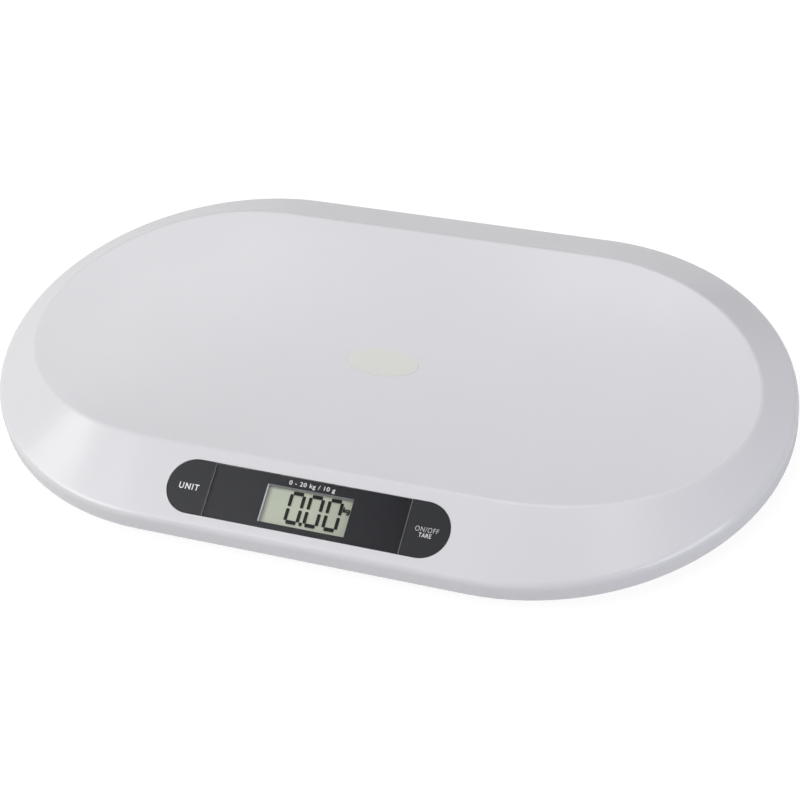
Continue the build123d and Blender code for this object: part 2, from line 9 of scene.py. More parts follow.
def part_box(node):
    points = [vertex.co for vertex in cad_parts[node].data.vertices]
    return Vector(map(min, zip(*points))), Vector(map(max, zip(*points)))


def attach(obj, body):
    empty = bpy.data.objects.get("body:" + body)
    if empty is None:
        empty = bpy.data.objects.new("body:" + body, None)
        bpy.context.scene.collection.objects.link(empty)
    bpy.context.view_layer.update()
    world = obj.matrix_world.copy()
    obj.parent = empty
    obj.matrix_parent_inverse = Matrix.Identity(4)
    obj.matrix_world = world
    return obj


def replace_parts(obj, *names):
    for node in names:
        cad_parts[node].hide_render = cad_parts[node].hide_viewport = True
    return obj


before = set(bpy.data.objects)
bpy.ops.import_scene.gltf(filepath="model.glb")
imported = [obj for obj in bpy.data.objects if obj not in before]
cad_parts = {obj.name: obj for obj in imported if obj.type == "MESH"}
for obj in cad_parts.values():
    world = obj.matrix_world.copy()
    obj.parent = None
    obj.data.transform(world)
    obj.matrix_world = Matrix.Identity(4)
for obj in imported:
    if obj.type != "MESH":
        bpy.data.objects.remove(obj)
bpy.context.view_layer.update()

# The part's sizes and places are in millimetres, and MM turns them to metres.
MM = 0.001


# ---------------------------------------------------------------- places on the display panel
# The panel lies in the front bevel: X along the scale, Y up the bevel, Z out of it.
BEVEL_ANGLE = radians(24.345)
OUT_OF_BEVEL = Vector((0, -sin(BEVEL_ANGLE), cos(BEVEL_ANGLE)))
UP_BEVEL = Vector((0, cos(BEVEL_ANGLE), sin(BEVEL_ANGLE)))
PANEL_Y, PANEL_Z = -139.95, 32.98
PANEL_MIDDLE = Vector((0, PANEL_Y * MM, PANEL_Z * MM))
PANEL = Matrix((
    (1, 0, 0, PANEL_MIDDLE.x),
    (0, UP_BEVEL.y, OUT_OF_BEVEL.y, PANEL_MIDDLE.y),
    (0, UP_BEVEL.z, OUT_OF_BEVEL.z, PANEL_MIDDLE.z),
    (0, 0, 0, 1),
))
# Depths below the bevel: faces of keys and lens, the cover's ledge under the ink, and the display's glass.
FLUSH_STEP = 0.1
COVER_DEPTH = 2.3
GLASS_DEPTH = 3.2
# The cover's window over the display.
WINDOW_LEFT, WINDOW_RIGHT = -28.6, 29.6
WINDOW_BOTTOM, WINDOW_TOP = -14.35, 10.75
# The ink's own window lies a little to the left of the cover's window and above it.
INK_LEFT, INK_UP = 0.55, 0.5


# ---------------------------------------------------------------- materials
# Grains of an eroded mould, a roll or a print screen are about 0.1 mm wide, too fine to show, so they are
# drawn 0.2 to 0.8 mm wide. Waves in glossy skins, the laminate's weave and clouds have their real size.

# Most of a noise lies between these two, so they are spread over a finish's range of gloss.
NOISE_LOW, NOISE_HIGH = 0.3, 0.7
# How far a moulded surface's roughness wanders to either side.
GLOSS_SPREAD = 0.03
# Haze in the lens, and its roughness where it is thickest.
HAZE_SIZE, HAZE_ROUGHNESS = 25.0, 0.03
# Painted shade of the window's walls on the display: how far it reaches, and the share of light it leaves.
LEFT_SHADE_REACH, LEFT_SHADE = 4.6, 0.4
UPPER_SHADE_REACH, UPPER_SHADE = 2.8, 0.36
# Painted shade towards the display's right end: the share of light that it leaves there.
RIGHT_SHADE = 0.78
# Grain of the display's silky film.
SILK_GRAIN = 0.5
# Along a battery from its nub: the end of the bare nub, the end of the copper band, and the bare flat end.
BARE_NUB_END = 1.1
COPPER_BAND_END = 12.0
BARE_FLAT_START = 44.2
WRINKLE_SIZE, WRINKLE_DEPTH = 3.0, 0.03
SLEEVE_GREEN, BAND_COPPER, BARE_NICKEL = "#2F4F46", "#B87446", "#C9C6BF"


def linear(code):
    """Linear colour of an sRGB hex value."""
    channels = [int(code[at:at + 2], 16) / 255 for at in (1, 3, 5)]
    return [c / 12.92 if c <= 0.04045 else ((c + 0.055) / 1.055) ** 2.4 for c in channels] + [1.0]


def add(tree, kind, sockets=None, **settings):
    """Adds a node with its settings; a socket takes a value or another node's output."""
    node = tree.nodes.new(kind)
    for name, value in settings.items():
        setattr(node, name, value)
    for name, value in (sockets or {}).items():
        if isinstance(value, bpy.types.NodeSocket):
            tree.links.new(value, node.inputs[name])
        else:
            node.inputs[name].default_value = value
    return node


def bare_material(name):
    """New material without any nodes."""
    material = bpy.data.materials.new(name)
    material.use_nodes = True
    material.node_tree.nodes.clear()
    return material


def moulded(name, colour, tint, roughness, grain, depth, ior=1.53, metallic=0.0, cloud=60.0):
    """Moulded, rolled or printed surface: clouds of two near colours, uneven gloss and a fine relief.

    The relief's grain and depth and the clouds' size are in mm.
    """
    material = bare_material(name)
    tree = material.node_tree
    place = add(tree, "ShaderNodeTexCoord").outputs["Object"]
    clouds = add(tree, "ShaderNodeTexNoise", {"Vector": place, "Scale": 1 / (cloud * MM), "Detail": 2.0})
    relief = add(tree, "ShaderNodeTexNoise", {"Vector": place, "Scale": 1 / (grain * MM), "Detail": 1.5})
    hue = add(tree, "ShaderNodeMix", {
        "Factor": clouds.outputs["Fac"], "A": linear(colour), "B": linear(tint),
    }, data_type="RGBA")
    gloss = add(tree, "ShaderNodeMapRange", {
        "Value": clouds.outputs["Fac"], "From Min": NOISE_LOW, "From Max": NOISE_HIGH,
        "To Min": roughness - GLOSS_SPREAD, "To Max": roughness + GLOSS_SPREAD,
    })
    bump = add(tree, "ShaderNodeBump", {
        "Height": relief.outputs["Fac"], "Distance": depth * MM, "Strength": 1.0,
    })
    shader = add(tree, "ShaderNodeBsdfPrincipled", {
        "Base Color": hue.outputs["Result"], "Roughness": gloss.outputs["Result"],
        "Normal": bump.outputs["Normal"], "Metallic": metallic, "IOR": ior,
    })
    add(tree, "ShaderNodeOutputMaterial", {"Surface": shader.outputs["BSDF"]})
    return material


def clear_acrylic(name):
    """Polished clear acrylic with a faint haze; light for the display passes straight through it."""
    material = bare_material(name)
    tree = material.node_tree
    place = add(tree, "ShaderNodeTexCoord").outputs["Object"]
    haze = add(tree, "ShaderNodeTexNoise", {"Vector": place, "Scale": 1 / (HAZE_SIZE * MM), "Detail": 2.0})
    gloss = add(tree, "ShaderNodeMapRange", {
        "Value": haze.outputs["Fac"], "From Min": NOISE_LOW, "From Max": NOISE_HIGH,
        "To Min": 0.0, "To Max": HAZE_ROUGHNESS,
    })
    clear = add(tree, "ShaderNodeBsdfPrincipled", {
        "Base Color": linear("#FAFBFB"), "Roughness": gloss.outputs["Result"], "IOR": 1.49,
        "Transmission Weight": 1.0,
    })
    through = add(tree, "ShaderNodeBsdfTransparent")
    path = add(tree, "ShaderNodeLightPath")
    mix = add(tree, "ShaderNodeMixShader", {
        "Fac": path.outputs["Is Shadow Ray"], 1: clear.outputs["BSDF"], 2: through.outputs["BSDF"],
    })
    add(tree, "ShaderNodeOutputMaterial", {"Surface": mix.outputs["Shader"]})
    return material


def display_cell(name):
    """Silky polariser film, with painted shade beside the window's left and upper walls and towards the
    right.
    """
    material = bare_material(name)
    tree = material.node_tree
    place = add(tree, "ShaderNodeTexCoord").outputs["Object"]
    from_middle = add(tree, "ShaderNodeVectorMath", {0: place, 1: PANEL_MIDDLE}, operation="SUBTRACT")
    offset = from_middle.outputs["Vector"]
    along = add(tree, "ShaderNodeSeparateXYZ", {"Vector": offset}).outputs["X"]
    upward = add(tree, "ShaderNodeVectorMath", {0: offset, 1: UP_BEVEL}, operation="DOT_PRODUCT")
    # Painted shade beside the left and upper walls, and towards the right.
    beside_left = add(tree, "ShaderNodeMapRange", {
        "Value": along,
        "From Min": WINDOW_LEFT * MM, "From Max": (WINDOW_LEFT + LEFT_SHADE_REACH) * MM,
        "To Min": LEFT_SHADE, "To Max": 1.0,
    }, interpolation_type="SMOOTHSTEP")
    beside_top = add(tree, "ShaderNodeMapRange", {
        "Value": upward.outputs["Value"],
        "From Min": (WINDOW_TOP - UPPER_SHADE_REACH) * MM, "From Max": WINDOW_TOP * MM,
        "To Min": 1.0, "To Max": UPPER_SHADE,
    }, interpolation_type="SMOOTHSTEP")
    to_right = add(tree, "ShaderNodeMapRange", {
        "Value": along, "From Min": 0.0, "From Max": WINDOW_RIGHT * MM, "To Min": 1.0, "To Max": RIGHT_SHADE,
    })
    walls = add(tree, "ShaderNodeMath", {
        0: beside_left.outputs["Result"], 1: beside_top.outputs["Result"],
    }, operation="MULTIPLY")
    shade = add(tree, "ShaderNodeMath", {
        0: walls.outputs["Value"], 1: to_right.outputs["Result"],
    }, operation="MULTIPLY")
    silk = add(tree, "ShaderNodeTexNoise", {"Vector": place, "Scale": 1 / (SILK_GRAIN * MM), "Detail": 2.0})
    tone = add(tree, "ShaderNodeMix", {
        "Factor": silk.outputs["Fac"], "A": linear("#B5BAA8"), "B": linear("#B1B6A4"),
    }, data_type="RGBA")
    shaded = add(tree, "ShaderNodeVectorMath", {
        0: tone.outputs["Result"], "Scale": shade.outputs["Value"],
    }, operation="SCALE")
    shader = add(tree, "ShaderNodeBsdfPrincipled", {
        "Base Color": shaded.outputs["Vector"], "Roughness": 0.5, "IOR": 1.5,
    })
    add(tree, "ShaderNodeOutputMaterial", {"Surface": shader.outputs["BSDF"]})
    return material


def battery_wrap(name, node, nub_side):
    """Wrinkled shrink sleeve, with a copper band at the nub's end and bare nickel at both ends."""
    low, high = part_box(node)
    nub_x = high.x if nub_side > 0 else low.x
    material = bare_material(name)
    tree = material.node_tree
    place = add(tree, "ShaderNodeTexCoord").outputs["Object"]
    x = add(tree, "ShaderNodeSeparateXYZ", {"Vector": place}).outputs["X"]
    from_nub = add(tree, "ShaderNodeMath", {0: x, 1: nub_x}, operation="SUBTRACT")
    distance = add(tree, "ShaderNodeMath", {0: from_nub.outputs["Value"]}, operation="ABSOLUTE")
    along = distance.outputs["Value"]
    banded = add(tree, "ShaderNodeMath", {0: along, 1: COPPER_BAND_END * MM}, operation="LESS_THAN")
    at_nub = add(tree, "ShaderNodeMath", {0: along, 1: BARE_NUB_END * MM}, operation="LESS_THAN")
    at_flat = add(tree, "ShaderNodeMath", {0: along, 1: BARE_FLAT_START * MM}, operation="GREATER_THAN")
    bare = add(tree, "ShaderNodeMath", {
        0: at_nub.outputs["Value"], 1: at_flat.outputs["Value"],
    }, operation="MAXIMUM")
    printed = add(tree, "ShaderNodeMix", {
        "Factor": banded.outputs["Value"], "A": linear(SLEEVE_GREEN), "B": linear(BAND_COPPER),
    }, data_type="RGBA")
    colour = add(tree, "ShaderNodeMix", {
        "Factor": bare.outputs["Value"], "A": printed.outputs["Result"], "B": linear(BARE_NICKEL),
    }, data_type="RGBA")
    wrinkle = add(tree, "ShaderNodeTexNoise", {
        "Vector": place, "Scale": 1 / (WRINKLE_SIZE * MM), "Detail": 2.0,
    })
    bump = add(tree, "ShaderNodeBump", {
        "Height": wrinkle.outputs["Fac"], "Distance": WRINKLE_DEPTH * MM, "Strength": 1.0,
    })
    shader = add(tree, "ShaderNodeBsdfPrincipled", {
        "Base Color": colour.outputs["Result"], "Metallic": bare.outputs["Value"], "Roughness": 0.25,
        "Normal": bump.outputs["Normal"], "IOR": 1.5,
    })
    add(tree, "ShaderNodeOutputMaterial", {"Surface": shader.outputs["BSDF"]})
    return material


finishes = {
    # Gloss ABS from a polished mould: clear reflections, softened by a faint orange peel.
    "cover_abs": moulded("gloss_white_abs", "#EAEAED", "#E7E7EA", 0.2, grain=2.0, depth=0.004),
    # ABS from a spark-eroded mould: even, matt and slightly grainy.
    "base_abs": moulded("textured_white_abs", "#D5D6D8", "#CFD0D3", 0.5, grain=0.7, depth=0.05),
    # Lacquered paper inlay under a clear film: satin and cream.
    "badge_inlay": moulded("cream_film_inlay", "#E9E9E4", "#E7E7E2", 0.3, grain=3.0, depth=0.002),
    # Moulded and polished acrylic: clear, with sharp reflections and hardly any haze.
    "clear_lens": clear_acrylic("clear_acrylic"),
    # Screen-printed ink: charcoal with a fine screen grain. The lens wets it, so it has no gloss of its own.
    "mask_print": moulded("charcoal_screen_ink", "#2A2A2E", "#28282C", 0.5, grain=0.4, depth=0.01, ior=1.03),
    # Reflective polariser film behind the liquid crystal: grey-green and silky, with painted shade.
    "display_glass": display_cell("reflective_polariser_painted_shade"),
    # Uncoloured moulded ABS of the inner parts: warm white and half matt.
    "inner_abs": moulded("natural_abs", "#CBC9C2", "#C6C4BC", 0.45, grain=0.8, depth=0.02),
    # Moulded silicone, filled with carbon between plain pink layers: dark and dull, with a pink tinge.
    "elastomer": moulded("carbon_silicone", "#3A3B40", "#D27B86", 0.6, grain=0.3, depth=0.02, ior=1.41),
    # Woven glass and epoxy under solder lacquer: deep green, with an even sheen over the weave.
    "board_laminate": moulded("glass_epoxy_laminate", "#1F5A3A", "#24623F", 0.35, grain=0.6, depth=0.01,
                              ior=1.5),
    # Poured epoxy over the controller: black and glossy, with a slightly wavy skin.
    "chip_resin": moulded("black_epoxy_resin", "#161617", "#1C1C1D", 0.3, grain=1.5, depth=0.05, ior=1.55),
    # Moulded nylon: milky and a little waxy.
    "socket_nylon": moulded("natural_nylon", "#DEDAD0", "#D9D4C8", 0.4, grain=0.6, depth=0.01),
    # Steel with bright zinc plating: silvery, with a gloss that clouds from place to place.
    "zinc_steel": moulded("zinc_plated_steel", "#B9BCC0", "#AEB2B5", 0.3, grain=0.5, depth=0.01, ior=1.5,
                          metallic=1.0, cloud=4.0),
    # Satin ABS of the keys: charcoal, with a fine matt texture.
    "key_abs": moulded("satin_charcoal_abs", "#2B2C2F", "#292A2D", 0.3, grain=0.5, depth=0.01),
    # Moulded nylon of the switches: black and half matt.
    "switch_shell": moulded("black_nylon", "#1B1B1D", "#202022", 0.4, grain=0.6, depth=0.01),
    # Moulded acetal: white and smooth, with a soapy sheen.
    "switch_plunger": moulded("white_acetal", "#DADAD6", "#D5D5D0", 0.35, grain=0.8, depth=0.005, ior=1.48),
    # Steel with nickel plating: warm grey and bright.
    "contact_nickel": moulded("nickel_plated_steel", "#C6C2B8", "#BDB9AF", 0.22, grain=0.6, depth=0.005,
                              ior=1.5, metallic=1.0, cloud=5.0),
    # Moulded rubber: dark grey, dull and slightly rough.
    "foot_rubber": moulded("moulded_rubber", "#3A3B3D", "#434446", 0.7, grain=0.6, depth=0.04, ior=1.52),
    # ABS of the feet, from a spark-eroded mould: light grey and matt.
    "foot_abs": moulded("textured_grey_abs", "#C9CACC", "#C3C4C7", 0.5, grain=0.7, depth=0.04),
    # Cold-rolled steel: grey, with the soft and uneven shine that rolls leave.
    "cell_steel": moulded("cold_rolled_steel", "#9C9E9F", "#8F9192", 0.32, grain=0.4, depth=0.01, ior=1.5,
                          metallic=1.0, cloud=8.0),
}
# Shrink film round the batteries: glossy and printed, with fine wrinkles. The two lie nub to flat end.
sleeves = {
    "battery_front": battery_wrap("sleeve_nub_right", "battery_front", 1),
    "battery_back": battery_wrap("sleeve_nub_left", "battery_back", -1),
}
for node_name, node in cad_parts.items():
    for surface in node.material_slots:
        surface.material = sleeves[node_name] if node_name in sleeves else finishes[surface.material.name]

# Liquid crystal in its cell: nearly black and without a shine.
crystal = moulded("liquid_crystal_dark", "#0E100B", "#11130D", 0.6, grain=0.3, depth=0.002, ior=1.03)
# Its shadow on the polariser is painted, in a dim grey-green.
crystal_shade = moulded("liquid_crystal_painted_shadow", "#9A9E90", "#969A8C", 0.55, grain=0.3, depth=0.002, ior=1.03)
# The window's walls are matt from the mould and painted grey as shade.
wall_abs = moulded("matt_white_abs_painted_shade", "#C8C7CC", "#C2C1C7", 0.6, grain=0.8, depth=0.01)
# The upper one stands in the shade, and is painted darker still.
shaded_abs = moulded("matt_abs_painted_deep_shade", "#7C7C80", "#78787C", 0.6, grain=0.8, depth=0.01)
# Pad-printed ink: opaque, with a slight sheen. ON/OFF is printed in grey, and the other legends in white.
white_print = moulded("white_pad_ink", "#FAFAFB", "#F4F4F6", 0.4, grain=0.2, depth=0.004)
grey_print = moulded("grey_pad_ink", "#CDCED1", "#C6C7CA", 0.4, grain=0.2, depth=0.004)
# Thin grey sheet over the cover's ribs beside the lens: painted shade, so that they show as fine lines.
rib_painted_shade = moulded("grey_painted_shade", "#808184", "#7B7C7F", 0.5, grain=0.4, depth=0.005)


# ---------------------------------------------------------------- pieces on the panel
CORNER_STEPS = 5


def corners(left, right, bottom, top):
    """The four corners of a rectangle in the panel's plane."""
    return [(left, bottom), (right, bottom), (right, top), (left, top)]


def rounded_bar(x, y, length, width, corner):
    """Outline of a rectangle with round corners, in the panel's plane."""
    points = []
    for turn, (side, up) in enumerate(((1, 1), (-1, 1), (-1, -1), (1, -1))):
        for step in range(CORNER_STEPS + 1):
            angle = pi / 2 * (turn + step / CORNER_STEPS)
            points.append((
                x + side * (length / 2 - corner) + corner * cos(angle),
                y + up * (width / 2 - corner) + corner * sin(angle),
            ))
    return points


def place_piece(name, mesh, material, body):
    """Makes an object of a finished mesh and lets it ride on a body."""
    mesh.materials.clear()
    mesh.materials.append(material)
    piece = bpy.data.objects.new(name, mesh)
    bpy.context.scene.collection.objects.link(piece)
    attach(piece, body)
    return piece


def panel_plates(name, outlines, depth, thickness, material):
    """Thin plates on the housing's panel, whose undersides are at a depth below the bevel."""
    mesh = bpy.data.meshes.new(name)
    work = bmesh.new()
    for outline in outlines:
        top = [work.verts.new((x * MM, y * MM, (thickness - depth) * MM)) for x, y in outline]
        low = [work.verts.new((x * MM, y * MM, -depth * MM)) for x, y in outline]
        work.faces.new(top)
        work.faces.new(low[::-1])
        for at in range(len(outline)):
            work.faces.new((top[at - 1], low[at - 1], low[at], top[at]))
    work.to_mesh(mesh)
    work.free()
    mesh.transform(PANEL)
    return place_piece(name, mesh, material, "housing")


def ring_between(name, loops, material, upper_material):
    """Closed ring through several four-cornered loops of (corners, depth), with an upper side of its own."""
    mesh = bpy.data.meshes.new(name)
    work = bmesh.new()
    rings = [[work.verts.new((x * MM, y * MM, -depth * MM)) for x, y in loop] for loop, depth in loops]
    for at, ring in enumerate(rings):
        last = rings[at - 1]
        for corner in range(4):
            work.faces.new((last[corner - 1], last[corner], ring[corner], ring[corner - 1]))
    bmesh.ops.recalc_face_normals(work, faces=work.faces)
    work.to_mesh(mesh)
    work.free()
    mesh.transform(PANEL)
    piece = place_piece(name, mesh, material, "housing")
    mesh.materials.append(upper_material)
    # The last of the four faces between two loops is the one along the top.
    for face in range(3, len(mesh.polygons), 4):
        mesh.polygons[face].material_index = 1
    return piece


# The ink layer lies just under the lens, so that the lens keeps its own back face.
INK_STEP = 0.02
# Points of its mesh that are no further apart than this are welded into one.
WELD_DISTANCE = 0.001
# The ink's corners that are this near to the panel's middle are those of its window.
WINDOW_ZONE = 1.1 * WINDOW_RIGHT


def ink_layer():
    """The mask's mesh, welded, a step below the lens and with its window moved to the ink's place."""
    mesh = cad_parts["lens_mask"].data.copy()
    work = bmesh.new()
    work.from_mesh(mesh)
    bmesh.ops.remove_doubles(work, verts=work.verts, dist=WELD_DISTANCE * MM)
    bmesh.ops.translate(work, verts=work.verts, vec=OUT_OF_BEVEL * -INK_STEP * MM)
    at_window = [v for v in work.verts if abs(v.co.x) < WINDOW_ZONE * MM]
    bmesh.ops.translate(work, verts=at_window, vec=(UP_BEVEL * INK_UP - Vector((INK_LEFT, 0, 0))) * MM)
    work.to_mesh(mesh)
    work.free()
    return mesh


ink = ink_layer()
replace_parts(place_piece("lens_ink", ink, finishes["mask_print"], "housing"), "lens_mask")

# Lining of the cover's window: a rim under the ink, and steep walls down to the glass.
RIM_MARGIN = 0.05
WALL_TAPER = 0.1
RIM_DEPTH = COVER_DEPTH - 2 * INK_STEP
WALL_DEPTH = GLASS_DEPTH - INK_STEP
rim = corners(
    WINDOW_LEFT - INK_LEFT - RIM_MARGIN, WINDOW_RIGHT + RIM_MARGIN,
    WINDOW_BOTTOM - RIM_MARGIN, WINDOW_TOP + INK_UP + RIM_MARGIN,
)
window = corners(WINDOW_LEFT, WINDOW_RIGHT, WINDOW_BOTTOM, WINDOW_TOP)
glass_view = corners(
    WINDOW_LEFT + WALL_TAPER, WINDOW_RIGHT - WALL_TAPER,
    WINDOW_BOTTOM + WALL_TAPER, WINDOW_TOP - WALL_TAPER,
)
# The lining carries painted shade: grey, and darker along its upper side, rim included.
ring_between(
    "window_walls", [(rim, RIM_DEPTH), (window, RIM_DEPTH), (glass_view, WALL_DEPTH), (window, WALL_DEPTH)],
    wall_abs, shaded_abs,
)

# Painted shade on the ribs between lens and keys: over their tops, and down the side seen through the lens.
RIB_INNER, RIB_OUTER = 65.925, 66.275
RIB_HALF_LENGTH = 18.28
RIB_TOP, RIB_SHADE_END = 0.5, 2.1
# Its thickness on the ribs' tops and on their sides towards the lens, and on their sides towards the keys.
RIB_SHADE_COAT, RIB_SHADE_EDGE = 0.02, 0.005
shade_sheets = []
for side in (-1, 1):
    ends = sorted((side * (RIB_INNER - RIB_SHADE_COAT), side * (RIB_OUTER + RIB_SHADE_EDGE)))
    shade_sheets.append(corners(*ends, -RIB_HALF_LENGTH, RIB_HALF_LENGTH))
RIB_SHADE_HEIGHT = RIB_SHADE_END - RIB_TOP + RIB_SHADE_COAT
panel_plates("rib_painted_shade", shade_sheets, RIB_SHADE_END, RIB_SHADE_HEIGHT, rib_painted_shade)


# ---------------------------------------------------------------- liquid crystal
# A nought has two level bars and, on each side, an upper and a lower upright.
DIGIT_XS = (-7.6, 5.2, 18.0)
TOP_Y, BOTTOM_Y = 8.4, -10.6
LEVEL_LENGTH, LEVEL_WIDTH, LEVEL_CORNER = 6.9, 2.5, 0.8
UPRIGHT_OFFSET, UPRIGHT_WIDTH, UPRIGHT_CORNER = 4.15, 2.25, 0.5
UPPER_ENDS = (-0.35, 7.5)
LOWER_ENDS = (-9.7, -1.95)
POINT_X, POINT_SIZE, POINT_CORNER = -1.1, 2.2, 0.6
CRYSTAL_THICKNESS = 0.04
# The segments' painted shadow falls to the right and below.
SHADE_X, SHADE_Y, SHADE_THICKNESS = 0.45, -0.55, 0.02


def nought_bars(x):
    """The six lit segments of a nought."""
    bars = [rounded_bar(x, y, LEVEL_LENGTH, LEVEL_WIDTH, LEVEL_CORNER) for y in (TOP_Y, BOTTOM_Y)]
    for side in (-1, 1):
        for low, high in (UPPER_ENDS, LOWER_ENDS):
            middle = (low + high) / 2
            bars.append(rounded_bar(
                x + side * UPRIGHT_OFFSET, middle, UPRIGHT_WIDTH, high - low, UPRIGHT_CORNER,
            ))
    return bars


def stroke(points, width):
    """Outlines of short bars along a line of points."""
    bars = []
    for (x0, y0), (x1, y1) in zip(points, points[1:]):
        reach = hypot(x1 - x0, y1 - y0)
        along_x, along_y = (x1 - x0) / reach * width / 2, (y1 - y0) / reach * width / 2
        x0, y0, x1, y1 = x0 - along_x / 2, y0 - along_y / 2, x1 + along_x / 2, y1 + along_y / 2
        bars.append([
            (x0 + along_y, y0 - along_x), (x1 + along_y, y1 - along_x),
            (x1 - along_y, y1 + along_x), (x0 - along_y, y0 + along_x),
        ])
    return bars


segments = [bar for x in DIGIT_XS for bar in nought_bars(x)]
segments.append(rounded_bar(POINT_X, BOTTOM_Y, POINT_SIZE, POINT_SIZE, POINT_CORNER))
panel_plates("lcd_segments", segments, GLASS_DEPTH, CRYSTAL_THICKNESS, crystal)

# Small letters k and g, drawn as strokes from their left end and baseline, and then scaled by KG_SIZE.
KG_X, KG_Y = 23.95, 2.0
KG_SIZE = 0.82
KG_STROKE = 1.0
BOWL_X, BOWL_Y, BOWL_RADIUS = 3.75, 1.3, 1.05
BOWL_STROKES = 8
bowl_angles = [2 * pi / BOWL_STROKES * step for step in range(BOWL_STROKES + 1)]
bowl = [(BOWL_X + BOWL_RADIUS * cos(angle), BOWL_Y + BOWL_RADIUS * sin(angle)) for angle in bowl_angles]
letters = [
    [(0.0, 0.0), (0.0, 4.0)],
    [(1.8, 2.5), (0.4, 1.3)],
    [(0.8, 1.6), (1.9, 0.0)],
    bowl,
    [(4.8, 2.4), (4.8, -0.7), (4.2, -1.35), (3.0, -1.2)],
]
kg_lines = [[(KG_X + KG_SIZE * x, KG_Y + KG_SIZE * y) for x, y in line] for line in letters]
kg_bars = [bar for line in kg_lines for bar in stroke(line, KG_STROKE)]
panel_plates("kg_sign", kg_bars, GLASS_DEPTH, CRYSTAL_THICKNESS, crystal)

# The painted shadow: a dim copy of the segments, moved to the right and down.
shades = [[(x + SHADE_X, y + SHADE_Y) for x, y in outline] for outline in segments]
panel_plates("lcd_segment_painted_shadow", shades, GLASS_DEPTH, SHADE_THICKNESS, crystal_shade)


# ---------------------------------------------------------------- legends
PRINT_THICKNESS = 0.02
# Any depth does for the outline that the words come from: it only tells their front from their back.
OUTLINE_DEPTH = 0.01


def legend(name, words, middle, baseline, cap, width, weight, material, body, spacing=1.12):
    """Words printed on the face of a key or the lens, placed by their middle and baseline.

    The height of their capitals and their width are in mm. The weight, which thickens the strokes, is in the
    typeface's own units.
    """
    curve = bpy.data.curves.new(name, "FONT")
    curve.body = words
    curve.offset = weight
    curve.space_character = spacing
    curve.extrude = OUTLINE_DEPTH
    maker = bpy.data.objects.new(name + "_outline", curve)
    bpy.context.scene.collection.objects.link(maker)
    bpy.context.view_layer.update()
    mesh = bpy.data.meshes.new_from_object(maker.evaluated_get(bpy.context.evaluated_depsgraph_get()))
    bpy.data.objects.remove(maker)
    xs = [v.co.x for v in mesh.vertices]
    top = max(v.co.y for v in mesh.vertices)
    stretch = width / (max(xs) - min(xs))
    outline_middle = (max(xs) + min(xs)) / 2
    for v in mesh.vertices:
        v.co = (
            (middle + (v.co.x - outline_middle) * stretch) * MM,
            (baseline + v.co.y * cap / top) * MM,
            (PRINT_THICKNESS * (v.co.z > 0) - FLUSH_STEP) * MM,
        )
    mesh.transform(PANEL)
    return place_piece(name, mesh, material, body)


legend("unit_legend", "UNIT", middle=-79.9, baseline=-2.5, cap=4.0, width=13.7, weight=0.019,
       material=white_print, body="unit_key_body", spacing=1.25)
legend("on_off_legend", "ON/OFF", middle=80.2, baseline=-1.2, cap=3.2, width=15.2, weight=0.0,
       material=grey_print, body="power_key_body")
legend("tare_legend", "TARE", middle=79.8, baseline=-4.7, cap=2.7, width=8.2, weight=0.006,
       material=white_print, body="power_key_body")
legend("range_legend", "0 - 20 kg / 10 g", middle=0.45, baseline=12.8, cap=2.8, width=31.0, weight=0.008,
       material=white_print, body="housing")


# ---------------------------------------------------------------- screws
THREAD_SIDES = 12
THREAD_STEPS = 4
# The thread's depth is a share of the shank's radius, and the tip's width a share of the shank's width.
THREAD_DEPTH = 0.2
TIP_WIDTH = 0.35
# The head's edge, its rounding and its flat face, and the cross recess's opening and bottom. Radii, reaches
# and arms are shares of the head's width, and heights are shares of its height.
HEAD_SIDES = 24
EDGE_HEIGHT = 0.55
ROUNDING_RADIUS, ROUNDING_HEIGHT = 0.46, 0.85
FACE_RADIUS = 0.38
OPENING_REACH, OPENING_ARM = 0.28, 0.075
BOTTOM_REACH, BOTTOM_ARM, BOTTOM_HEIGHT = 0.15, 0.05, 0.35


def cross_outline(reach, arm):
    """Twelve corners of a cross recess."""
    corner = [(reach, -arm), (reach, arm), (arm, arm)]
    points = []
    for _ in range(4):
        points += corner
        corner = [(-y, x) for x, y in corner]
    return points


